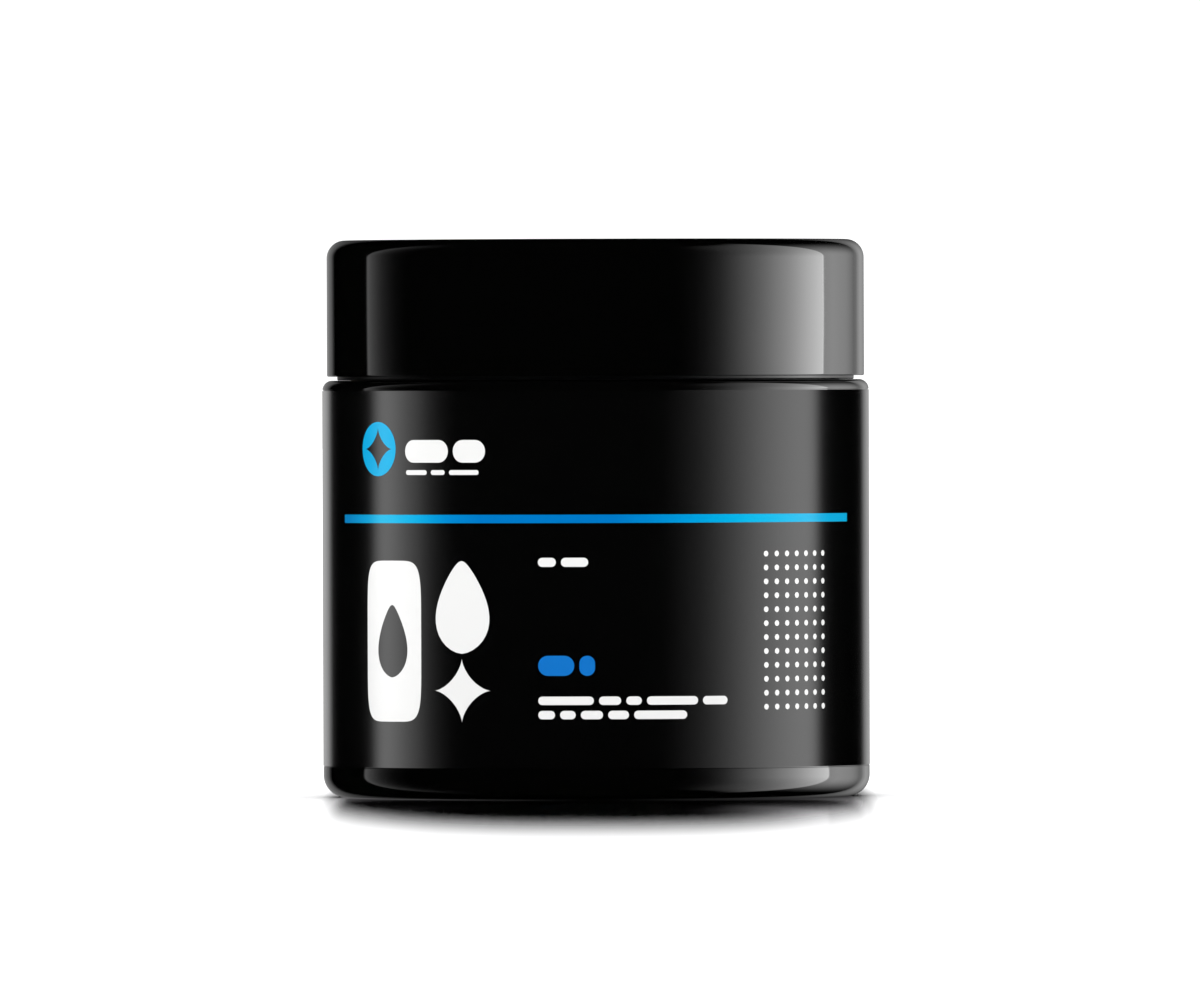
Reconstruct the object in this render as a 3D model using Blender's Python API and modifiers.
"""Detailing clay in a screw-lid jar.

A double-walled plastic jar (outer shell and threaded inner cup), a wrap label, a screw lid in two
shells with its sealing liner, and two putty clay bars, each in its own film pouch.

Metres, +Z up. The origin is the middle of the jar's foot, on the surface that it stands on. The
front of the label faces -Y. The lid screws off about +Z, and the bars lift out along +Z.
"""
import math

import bmesh
import bpy

MM = 0.001

# overall
JAR_DIAMETER = 85.0 * MM
TOTAL_HEIGHT = 86.6 * MM
LID_HEIGHT = 21.2 * MM
LID_STEP = 0.7 * MM  # how far the lid's side stands in from the jar's side
SEAM_GAP = 0.6 * MM  # open seam between the jar's shoulder and the lid's rim
FIT_GAP = 0.3 * MM  # clearance between pieces that seat on each other

# outer shell
SHELL_WALL = 1.6 * MM
SHOULDER_WALL = 1.8 * MM
SHOULDER_RADIUS = 1.5 * MM
BASE_RADIUS = 3.4 * MM
BASE_WALL = 1.6 * MM
FOOT_WIDTH = 9.5 * MM  # from the jar's side to the inside of the foot ring
PUSH_UP = 1.0 * MM  # height of the hollow under the base
RING_WALL = 1.2 * MM  # ring on the floor that carries the cup
RING_INSET = 8.0 * MM  # from the cup's side to the ring

# wrap label, in a shallow panel round the shell
LABEL_THICKNESS = 0.15 * MM
LABEL_PROUD = 0.05 * MM
LABEL_TOP_MARGIN = 1.6 * MM  # below the shoulder's top
LABEL_BOTTOM_MARGIN = 4.9 * MM  # above the foot
LABEL_SEAM = 0.6 * MM  # butt joint at the back

# lid shell, threaded insert and liner
LID_WALL = 1.3 * MM
LID_TOP_WALL = 1.6 * MM
LID_CORNER = 2.8 * MM
LID_INNER_CORNER = 1.5 * MM
LID_EDGE = 0.3 * MM  # chamfer round the lid's rim
INSERT_WALL = 1.0 * MM
INSERT_STANDOFF = 0.6 * MM  # above the cup's flange
LINER_THICKNESS = 1.0 * MM
SNAP_HEIGHT = 0.4 * MM  # bead of the insert, in a groove of the lid shell
SNAP_FLAT = 0.6 * MM
SNAP_LIFT = 2.0 * MM  # above the insert's lower edge

# inner cup
NECK_WALL = 1.4 * MM
CUP_FLOOR = 1.4 * MM
CUP_STANDOFF = 8.0 * MM  # cup's underside above the foot
CUP_CORNER = 4.0 * MM
FLANGE_THICKNESS = 1.0 * MM
FLANGE_CLEARANCE = 0.3 * MM  # from the flange's edge to the lid shell
RIM_CHAMFER = 0.3 * MM
CATCH_HEIGHT = 0.8 * MM  # barb that holds the cup under the shoulder
CATCH_LENGTH = 1.5 * MM
KEY_COUNT = 4  # tabs under the cup that stop it turning in the shell
KEY_WIDTH = 3.0 * MM
KEY_HEIGHT = 2.0 * MM
KEY_OVERHANG = 0.8 * MM  # past the support ring, on both sides

# screw thread: round beads, right-handed
THREAD_STARTS = 2
THREAD_LEAD = 10.0 * MM
THREAD_HEIGHT = 0.9 * MM
THREAD_CLEARANCE = 0.3 * MM  # from each crest to the other wall
THREAD_BEAD_RADIUS = 0.8 * MM
THREAD_SEAT = 1.7 * MM  # how far the lid's bead runs below the neck's bead
THREAD_RIM_MARGIN = 2.5 * MM  # from the rim down to the top of the neck's bead
NECK_THREAD_ARC = 200.0  # degrees, each start
LID_THREAD_ARC = 180.0
LID_THREAD_LAG = 20.0  # degrees before the neck's bead

# clay bars and film pouches
FILM_THICKNESS = 0.2 * MM
FILM_RISE = 5.0 * MM  # film above the bar
BAR_CORNER = 2.5 * MM
BAR_HEADSPACE = 13.4 * MM  # from the cup's rim down to the bars
BAR_WALL_CLEARANCE = 1.0 * MM  # from the pouches' corners to the cup's wall
BAR_PAIR_GAP = 0.6 * MM

# facets
SEGMENTS = 48
ARC_STEPS = 5
BEVEL_STEPS = 3
THREAD_STEP = 7.5  # degrees between the points of a thread bead

# radii, from the lid's side inwards to the bore
JAR_R = JAR_DIAMETER / 2
LID_R = JAR_R - LID_STEP
LID_INNER_R = LID_R - LID_WALL
INSERT_R = LID_INNER_R - FIT_GAP
INSERT_INNER_R = INSERT_R - INSERT_WALL
CUP_R = INSERT_INNER_R - THREAD_CLEARANCE - THREAD_HEIGHT
BORE_R = CUP_R - NECK_WALL
FLANGE_R = LID_INNER_R - FLANGE_CLEARANCE
SHELL_INNER_R = JAR_R - SHELL_WALL
SHELL_OPENING_R = CUP_R + FIT_GAP
PANEL_R = JAR_R + LABEL_PROUD - LABEL_THICKNESS - FIT_GAP
FOOT_INNER_R = JAR_R - FOOT_WIDTH
RING_OUTER_R = CUP_R - RING_INSET
RING_INNER_R = RING_OUTER_R - RING_WALL
LINER_R = INSERT_INNER_R - FIT_GAP

# heights, from the top down to the foot
LID_CEILING_Z = TOTAL_HEIGHT - LID_TOP_WALL
INSERT_TOP_Z = LID_CEILING_Z - FIT_GAP
INSERT_UNDER_Z = INSERT_TOP_Z - INSERT_WALL
LINER_TOP_Z = INSERT_UNDER_Z - FIT_GAP
LINER_BOTTOM_Z = LINER_TOP_Z - LINER_THICKNESS
RIM_Z = LINER_BOTTOM_Z - FIT_GAP
LID_BOTTOM_Z = TOTAL_HEIGHT - LID_HEIGHT
SHOULDER_Z = LID_BOTTOM_Z - SEAM_GAP
SHOULDER_UNDER_Z = SHOULDER_Z - SHOULDER_WALL
FLANGE_Z = SHOULDER_Z + FIT_GAP
FLANGE_TOP_Z = FLANGE_Z + FLANGE_THICKNESS
INSERT_BOTTOM_Z = FLANGE_TOP_Z + INSERT_STANDOFF
LABEL_TOP_Z = SHOULDER_Z - LABEL_TOP_MARGIN
LABEL_BOTTOM_Z = LABEL_BOTTOM_MARGIN
CUP_FLOOR_Z = CUP_STANDOFF + CUP_FLOOR
BASE_INSIDE_Z = PUSH_UP + BASE_WALL
RING_TOP_Z = CUP_STANDOFF - FIT_GAP
POUCH_BOTTOM_Z = CUP_FLOOR_Z + FIT_GAP
BAR_BOTTOM_Z = POUCH_BOTTOM_Z + FILM_THICKNESS + FIT_GAP
BAR_TOP_Z = RIM_Z - BAR_HEADSPACE
POUCH_TOP_Z = BAR_TOP_Z + FILM_RISE


def clear_scene():
    for thing in list(bpy.data.objects):
        bpy.data.objects.remove(thing, do_unlink=True)


def new_collection(name):
    collection = bpy.data.collections.new(name)
    bpy.context.scene.collection.children.link(collection)
    return collection


def plastic(name, colour, roughness, alpha=1.0):
    """A Principled material for one sub-part."""
    material = bpy.data.materials.new(name)
    material.use_nodes = True
    shader = material.node_tree.nodes["Principled BSDF"]
    shader.inputs["Base Color"].default_value = (*colour, 1.0)
    shader.inputs["Roughness"].default_value = roughness
    shader.inputs["Metallic"].default_value = 0.0
    shader.inputs["Alpha"].default_value = alpha
    return material


def add_object(name, mesh, collection, parent=None):
    thing = bpy.data.objects.new(name, mesh)
    collection.objects.link(thing)
    thing.parent = parent
    return thing


def joint_empty(name, location):
    """An empty on a joint's axis: what moves with the joint is its child."""
    empty = add_object(name, None, jar_parts)
    empty.location = location
    empty.empty_display_size = 0.01
    return empty


def arc(centre_r, centre_z, radius, start, end, steps=ARC_STEPS):
    """Points of a round corner in a turned profile, between two angles in degrees."""
    points = []
    for step in range(steps + 1):
        angle = math.radians(start + (end - start) * step / steps)
        points.append((centre_r + radius * math.cos(angle), centre_z + radius * math.sin(angle)))
    return points


def bead(wall_r, middle_z, flat, height, margin=0.0):
    """A low trapezoid ridge on a wall, from its top to its bottom, grown by a clearance margin."""
    half = flat / 2 + margin
    return [
        (wall_r, middle_z + half + height),
        (wall_r + height, middle_z + half),
        (wall_r + height, middle_z - half),
        (wall_r, middle_z - half - height),
    ]


def add_screw(thing, angle, merge):
    screw = thing.modifiers.new("Turn", "SCREW")
    screw.axis = "Z"
    screw.angle = angle
    screw.steps = SEGMENTS
    screw.render_steps = SEGMENTS
    screw.use_merge_vertices = merge
    screw.merge_threshold = 0.00001


def turned(name, profile, parent, closed=False):
    """A turned piece: its half section, outer side running down, swept once round the axis."""
    drop = parent.location.z
    section = bpy.data.meshes.new(name)
    edges = [(i, i + 1) for i in range(len(profile) - 1)]
    if closed:
        edges.append((len(profile) - 1, 0))
    section.from_pydata([(r, 0.0, z - drop) for r, z in profile], edges, [])
    piece = add_object(name, section, jar_parts, parent)
    add_screw(piece, math.tau, merge=True)
    return piece


def hide_as_guide(guide):
    guide.hide_render = True
    guide.display_type = "WIRE"


def combine(piece, tool, operation):
    boolean = piece.modifiers.new(tool.name, "BOOLEAN")
    boolean.operation = operation
    boolean.object = tool
    boolean.solver = "EXACT"
    hide_as_guide(tool)


def finish(piece, material):
    """Bakes the modifiers into the mesh, shades its round faces smooth and gives its material."""
    bpy.context.view_layer.update()
    evaluated = piece.evaluated_get(bpy.context.evaluated_depsgraph_get())
    mesh = bpy.data.meshes.new_from_object(evaluated)
    mesh.name = piece.name
    piece.modifiers.clear()
    piece.data = mesh
    mesh.shade_smooth()
    mesh.set_sharp_from_angle(angle=math.radians(30))
    mesh.materials.clear()
    mesh.materials.append(material)


def thread_bead(name, radius, start_angle, arc_degrees, start_z):
    """One round thread bead as a mesh: a helix tube whose two ends taper into the wall."""
    count = round(arc_degrees / THREAD_STEP) + 1
    curve = bpy.data.curves.new(name, "CURVE")
    curve.dimensions = "3D"
    curve.bevel_depth = THREAD_BEAD_RADIUS
    curve.bevel_resolution = 2
    curve.use_fill_caps = True
    spline = curve.splines.new("POLY")
    spline.points.add(count - 1)
    for i, point in enumerate(spline.points):
        turn = arc_degrees * i / (count - 1)
        angle = math.radians(start_angle + turn)
        height = start_z + THREAD_LEAD * turn / 360
        point.co = (radius * math.cos(angle), radius * math.sin(angle), height, 1.0)
        steps_from_end = min(i, count - 1 - i)
        point.radius = min(1.0, 0.55 + 0.15 * steps_from_end)
    tube = add_object(name, curve, tools)
    bpy.context.view_layer.update()
    evaluated = tube.evaluated_get(bpy.context.evaluated_depsgraph_get())
    mesh = bpy.data.meshes.new_from_object(evaluated)
    weld = bmesh.new()
    weld.from_mesh(mesh)
    bmesh.ops.remove_doubles(weld, verts=weld.verts, dist=0.00001)
    bmesh.ops.recalc_face_normals(weld, faces=weld.faces)
    weld.to_mesh(mesh)
    weld.free()
    solid = add_object(name + "_solid", mesh, tools)
    solid.matrix_world = tube.matrix_world
    bpy.data.objects.remove(tube)
    return solid


def box(name, size, centre, turn=0.0):
    """A plain block used as a tool, turned about the jar's axis by an angle in degrees."""
    mesh = bpy.data.meshes.new(name)
    block = bmesh.new()
    bmesh.ops.create_cube(block, size=1.0)
    bmesh.ops.scale(block, vec=size, verts=block.verts)
    bmesh.ops.translate(block, vec=centre, verts=block.verts)
    block.to_mesh(mesh)
    block.free()
    tool = add_object(name, mesh, tools)
    tool.rotation_euler = (0.0, 0.0, math.radians(turn))
    return tool


def key_box(name, width, bottom_z, top_z, overhang, turn):
    """The block of one anti-turn key, or of the notch that takes it, across the support ring."""
    length = RING_WALL + 2 * overhang
    middle_r = (RING_INNER_R + RING_OUTER_R) / 2
    size = (length, width, top_z - bottom_z)
    return box(name, size, (middle_r, 0.0, (bottom_z + top_z) / 2), turn)


def key_turns():
    return [360 * i / KEY_COUNT for i in range(KEY_COUNT)]


def make_outer_shell(parent, material):
    """Outer shell: gloss side wall with a label panel, shoulder, foot ring and cup support ring."""
    inside_radius = BASE_RADIUS - SHELL_WALL
    panel_top = LABEL_TOP_Z + FIT_GAP
    panel_bottom = LABEL_BOTTOM_Z - FIT_GAP
    shoulder_centre_z = SHOULDER_Z - SHOULDER_RADIUS
    panel_angle = math.degrees(math.asin((panel_top - shoulder_centre_z) / SHOULDER_RADIUS))
    profile = [
        (0.0, BASE_INSIDE_Z),
        (RING_INNER_R, BASE_INSIDE_Z),
        (RING_INNER_R, RING_TOP_Z),
        (RING_OUTER_R, RING_TOP_Z),
        (RING_OUTER_R, BASE_INSIDE_Z),
    ]
    profile += arc(SHELL_INNER_R - inside_radius, BASE_INSIDE_Z + inside_radius, inside_radius, -90, 0)
    profile += [
        (SHELL_INNER_R, SHOULDER_UNDER_Z),
        (SHELL_OPENING_R, SHOULDER_UNDER_Z),
        (SHELL_OPENING_R, SHOULDER_Z),
    ]
    profile += arc(JAR_R - SHOULDER_RADIUS, shoulder_centre_z, SHOULDER_RADIUS, 90, panel_angle)
    profile += [(PANEL_R, panel_top), (PANEL_R, panel_bottom), (JAR_R, panel_bottom)]
    profile += arc(JAR_R - BASE_RADIUS, BASE_RADIUS, BASE_RADIUS, 0, -90)
    profile += [(FOOT_INNER_R, 0.0), (FOOT_INNER_R - PUSH_UP, PUSH_UP), (0.0, PUSH_UP)]
    shell = turned("outer_shell", profile, parent)
    notch_bottom = CUP_STANDOFF - KEY_HEIGHT - FIT_GAP
    for number, turn in enumerate(key_turns(), start=1):
        notch = key_box(
            f"ring_notch_{number}",
            KEY_WIDTH + 2 * FIT_GAP,
            notch_bottom,
            RING_TOP_Z + FIT_GAP,
            KEY_OVERHANG + FIT_GAP,
            turn,
        )
        combine(shell, notch, "DIFFERENCE")
    finish(shell, material)


def make_inner_cup(parent, material):
    """Inner cup: holds the clay, carries the neck's thread, and barbs under the shell's shoulder."""
    bore_corner = CUP_CORNER - NECK_WALL
    catch_top = SHOULDER_UNDER_Z - FIT_GAP
    profile = [(0.0, CUP_FLOOR_Z)]
    profile += arc(BORE_R - bore_corner, CUP_FLOOR_Z + bore_corner, bore_corner, -90, 0)
    profile += [
        (BORE_R, RIM_Z - RIM_CHAMFER),
        (BORE_R + RIM_CHAMFER, RIM_Z),
        (CUP_R - RIM_CHAMFER, RIM_Z),
        (CUP_R, RIM_Z - RIM_CHAMFER),
        (CUP_R, FLANGE_TOP_Z),
        (FLANGE_R, FLANGE_TOP_Z),
        (FLANGE_R, FLANGE_Z),
        (CUP_R, FLANGE_Z),
        (CUP_R, catch_top),
        (CUP_R + CATCH_HEIGHT, catch_top),
        (CUP_R, catch_top - CATCH_LENGTH),
    ]
    profile += arc(CUP_R - CUP_CORNER, CUP_STANDOFF + CUP_CORNER, CUP_CORNER, 0, -90)
    profile += [(0.0, CUP_STANDOFF)]
    cup = turned("inner_cup", profile, parent)
    for number, turn in enumerate(key_turns(), start=1):
        key_top = CUP_STANDOFF + CUP_FLOOR / 2
        key = key_box(f"cup_key_{number}", KEY_WIDTH, CUP_STANDOFF - KEY_HEIGHT, key_top, KEY_OVERHANG, turn)
        combine(cup, key, "UNION")
    bead_r = CUP_R + THREAD_HEIGHT - THREAD_BEAD_RADIUS
    for start in range(THREAD_STARTS):
        first_angle = 360 * start / THREAD_STARTS
        tube = thread_bead(f"neck_thread_{start + 1}", bead_r, first_angle, NECK_THREAD_ARC, neck_thread_z())
        combine(cup, tube, "UNION")
    finish(cup, material)


def neck_thread_z():
    """Height of the low end of the neck's thread."""
    return RIM_Z - THREAD_RIM_MARGIN - THREAD_LEAD * NECK_THREAD_ARC / 360


def make_wrap_label(parent, material):
    """Wrap label: one strip of film round the panel, its two ends butted at the back."""
    strip = bpy.data.meshes.new("wrap_label")
    inner_r = PANEL_R + FIT_GAP
    strip.from_pydata([(inner_r, 0.0, LABEL_TOP_Z), (inner_r, 0.0, LABEL_BOTTOM_Z)], [(0, 1)], [])
    label = add_object("wrap_label", strip, jar_parts, parent)
    seam_angle = LABEL_SEAM / inner_r
    label.rotation_euler = (0.0, 0.0, math.radians(90) + seam_angle / 2)
    add_screw(label, math.tau - seam_angle, merge=False)
    wall = label.modifiers.new("Film", "SOLIDIFY")
    wall.thickness = LABEL_THICKNESS
    wall.offset = 1.0
    finish(label, material)


def make_lid_shell(parent, material):
    """Lid shell: the gloss outside of the lid, with a groove inside for the insert's bead."""
    groove = bead(LID_INNER_R, INSERT_BOTTOM_Z + SNAP_LIFT, SNAP_FLAT, SNAP_HEIGHT, FIT_GAP)
    profile = [(0.0, TOTAL_HEIGHT)]
    profile += arc(LID_R - LID_CORNER, TOTAL_HEIGHT - LID_CORNER, LID_CORNER, 90, 0)
    profile += [
        (LID_R, LID_BOTTOM_Z + LID_EDGE),
        (LID_R - LID_EDGE, LID_BOTTOM_Z),
        (LID_INNER_R, LID_BOTTOM_Z),
    ]
    profile += reversed(groove)
    corner_r = LID_INNER_R - LID_INNER_CORNER
    profile += arc(corner_r, LID_CEILING_Z - LID_INNER_CORNER, LID_INNER_CORNER, 0, 90)
    profile += [(0.0, LID_CEILING_Z)]
    finish(turned("lid_shell", profile, parent), material)


def make_lid_insert(parent, material):
    """Lid insert: the threaded inside of the lid, held in the shell by its snap bead."""
    corner = LID_INNER_CORNER - FIT_GAP
    profile = [(0.0, INSERT_TOP_Z)]
    profile += arc(INSERT_R - corner, INSERT_TOP_Z - corner, corner, 90, 0)
    profile += bead(INSERT_R, INSERT_BOTTOM_Z + SNAP_LIFT, SNAP_FLAT, SNAP_HEIGHT)
    profile += [
        (INSERT_R, INSERT_BOTTOM_Z),
        (INSERT_INNER_R, INSERT_BOTTOM_Z),
        (INSERT_INNER_R, INSERT_UNDER_Z),
        (0.0, INSERT_UNDER_Z),
    ]
    insert = turned("lid_insert", profile, parent)
    bead_r = INSERT_INNER_R - THREAD_HEIGHT + THREAD_BEAD_RADIUS
    low_z = neck_thread_z() - THREAD_SEAT - THREAD_LEAD * LID_THREAD_LAG / 360
    for start in range(THREAD_STARTS):
        first_angle = 360 * start / THREAD_STARTS - LID_THREAD_LAG
        tube = thread_bead(f"lid_thread_{start + 1}", bead_r, first_angle, LID_THREAD_ARC, low_z)
        combine(insert, tube, "UNION")
    finish(insert, material)


def make_lid_liner(parent, material):
    """Lid liner: a soft disc that seals on the cup's rim."""
    profile = [
        (0.0, LINER_TOP_Z),
        (LINER_R, LINER_TOP_Z),
        (LINER_R, LINER_BOTTOM_Z),
        (0.0, LINER_BOTTOM_Z),
    ]
    finish(turned("lid_liner", profile, parent), material)


def pouch_size():
    """Width and depth of one wrapped bar: two side by side fill a square that fits the bore."""
    corner = pouch_corner()
    half = (BORE_R - BAR_WALL_CLEARANCE - corner) / math.sqrt(2) + corner
    return 2 * half, half - BAR_PAIR_GAP / 2


def pouch_corner():
    return BAR_CORNER + FIT_GAP + FILM_THICKNESS


def rounded_block(name, size, corner, parent, open_top=False):
    """A block standing on its parent's origin with round edges, or an open-topped tray of it."""
    mesh = bpy.data.meshes.new(name)
    block = bmesh.new()
    bmesh.ops.create_cube(block, size=1.0)
    bmesh.ops.translate(block, vec=(0.0, 0.0, 0.5), verts=block.verts)
    bmesh.ops.scale(block, vec=size, verts=block.verts)
    top_faces = [face for face in block.faces if face.normal.z > 0.5]
    edges = list(block.edges)
    if open_top:
        edges = [edge for edge in edges if edge not in top_faces[0].edges]
        bmesh.ops.delete(block, geom=top_faces, context="FACES_ONLY")
    bmesh.ops.bevel(block, geom=edges, offset=corner, segments=BEVEL_STEPS, profile=0.5, affect="EDGES")
    block.to_mesh(mesh)
    block.free()
    return add_object(name, mesh, jar_parts, parent)


def make_wrapped_bar(number, side, clay, film):
    """One clay bar standing in its film pouch, in front of the jar's middle or behind it."""
    width, depth = pouch_size()
    middle_y = side * (depth + BAR_PAIR_GAP) / 2
    holder = joint_empty(f"wrapped_bar_{number}", (0.0, middle_y, POUCH_BOTTOM_Z))
    pouch = rounded_block(
        f"film_wrap_{number}",
        (width, depth, POUCH_TOP_Z - POUCH_BOTTOM_Z),
        pouch_corner(),
        holder,
        open_top=True,
    )
    wall = pouch.modifiers.new("Film", "SOLIDIFY")
    wall.thickness = FILM_THICKNESS
    wall.offset = -1.0
    wall.use_even_offset = True
    finish(pouch, film)
    margin = 2 * (FILM_THICKNESS + FIT_GAP)
    size = (width - margin, depth - margin, BAR_TOP_Z - BAR_BOTTOM_Z)
    bar = rounded_block(f"clay_bar_{number}", size, BAR_CORNER, holder)
    bar.location.z = BAR_BOTTOM_Z - POUCH_BOTTOM_Z
    finish(bar, clay)


clear_scene()
jar_parts = new_collection("clay_jar")
tools = new_collection("cutters")

jar = joint_empty("jar", (0.0, 0.0, 0.0))
make_outer_shell(jar, plastic("gloss_black_shell", (0.006, 0.006, 0.007), 0.06))
make_inner_cup(jar, plastic("black_cup", (0.012, 0.012, 0.013), 0.42))
make_wrap_label(jar, plastic("satin_label", (0.008, 0.008, 0.009), 0.22))

lid = joint_empty("lid", (0.0, 0.0, LID_BOTTOM_Z))
make_lid_shell(lid, plastic("gloss_black_lid", (0.006, 0.006, 0.007), 0.06))
make_lid_insert(lid, plastic("black_insert", (0.012, 0.012, 0.013), 0.45))
seal = joint_empty("seal", (0.0, 0.0, LINER_BOTTOM_Z))
make_lid_liner(seal, plastic("foam_liner", (0.82, 0.82, 0.80), 0.6))

clay_putty = plastic("clay_putty", (0.16, 0.42, 0.66), 0.55)
clear_film = plastic("clear_film", (0.85, 0.88, 0.90), 0.12, alpha=0.35)
make_wrapped_bar(1, -1, clay_putty, clear_film)
make_wrapped_bar(2, 1, clay_putty, clear_film)
